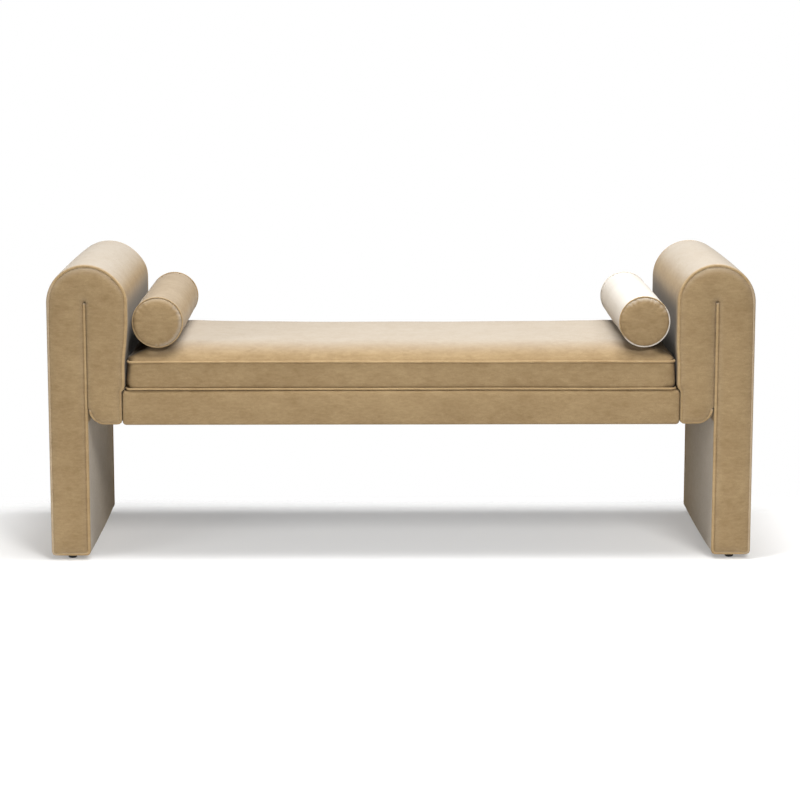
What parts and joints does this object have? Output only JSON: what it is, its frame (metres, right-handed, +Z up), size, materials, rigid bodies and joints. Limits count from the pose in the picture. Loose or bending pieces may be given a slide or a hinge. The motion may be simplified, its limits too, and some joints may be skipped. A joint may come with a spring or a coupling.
{
  "type": "upholstered bench with rolled arms",
  "caption": "Wide velvet bench between two upside-down J arms that reach the floor, with a piped box cushion on an upholstered seat frame and a loose bolster against each arm",
  "frame": {"origin": "on the floor, under the middle of the bench", "axes": "+X along the bench to the right of someone facing its front, +Y from front to back, +Z up"},
  "size_m": [1.524, 0.508, 0.648],
  "materials": {
    "velvet": "matte",
    "piping": "matte",
    "foam": "matte",
    "timber": "matte",
    "plywood": "matte",
    "steel": "satin",
    "black_plastic": "satin",
    "black_cloth": "matte",
    "webbing": "matte",
    "zip_tape": "matte",
    "zip_metal": "satin"
  },
  "bodies": {
    "frame": {"arm_left_front_rib": "plywood", "arm_left_back_rib": "plywood", "arm_left_skin": "plywood", "arm_left_base_rail": "timber", "arm_left_mount_rail": "timber", "arm_left_battens": "timber", "arm_left_wrap_foam": "foam", "arm_left_front_pad": "foam", "arm_left_back_pad": "foam", "arm_left_boxing": "velvet", "arm_left_front_panel": "velvet", "arm_left_back_panel": "velvet", "arm_left_piping": "piping", "arm_right_front_rib": "plywood", "arm_right_back_rib": "plywood", "arm_right_skin": "plywood", "arm_right_base_rail": "timber", "arm_right_mount_rail": "timber", "arm_right_battens": "timber", "arm_right_wrap_foam": "foam", "arm_right_front_pad": "foam", "arm_right_back_pad": "foam", "arm_right_boxing": "velvet", "arm_right_front_panel": "velvet", "arm_right_back_panel": "velvet", "arm_right_piping": "piping", "seat_front_rail": "timber", "seat_back_rail": "timber", "seat_left_end_rail": "timber", "seat_right_end_rail": "timber", "seat_corner_blocks": "timber", "seat_braces": "timber", "seat_webbing": "webbing", "seat_deck_pad": "foam", "seat_cover": "velvet", "seat_dust_cover": "black_cloth", "seat_bolts": "steel", "seat_bolt_washers": "steel", "seat_tee_nuts": "steel", "leg_glide_nails": "steel", "leg_glides": "black_plastic"},
    "cushion": {"cushion_core": "foam", "cushion_top_panel": "velvet", "cushion_boxing": "velvet", "cushion_bottom_panel": "velvet", "cushion_piping": "piping", "cushion_zip_tape": "zip_tape"},
    "zip_slider": {"cushion_zip_slider": "zip_metal"},
    "bolster_left": {"bolster_left_core": "foam", "bolster_left_cover": "velvet", "bolster_left_end_panels": "velvet", "bolster_left_piping": "piping"},
    "bolster_right": {"bolster_right_core": "foam", "bolster_right_cover": "velvet", "bolster_right_end_panels": "velvet", "bolster_right_piping": "piping"}
  },
  "joints": [
    {"name": "cushion_lift", "type": "slide", "parent": "frame", "child": "cushion", "axis": [0, 0, 1], "range_m": [0, 0.3]},
    {"name": "zip_slide", "type": "slide", "parent": "cushion", "child": "zip_slider", "axis": [1, 0, 0], "range_m": [0, 0.872]},
    {"name": "bolster_left_lift", "type": "slide", "parent": "cushion", "child": "bolster_left", "axis": [0, 0, 1], "range_m": [0, 0.2]},
    {"name": "bolster_right_lift", "type": "slide", "parent": "cushion", "child": "bolster_right", "axis": [0, 0, 1], "range_m": [0, 0.2]}
  ]
}
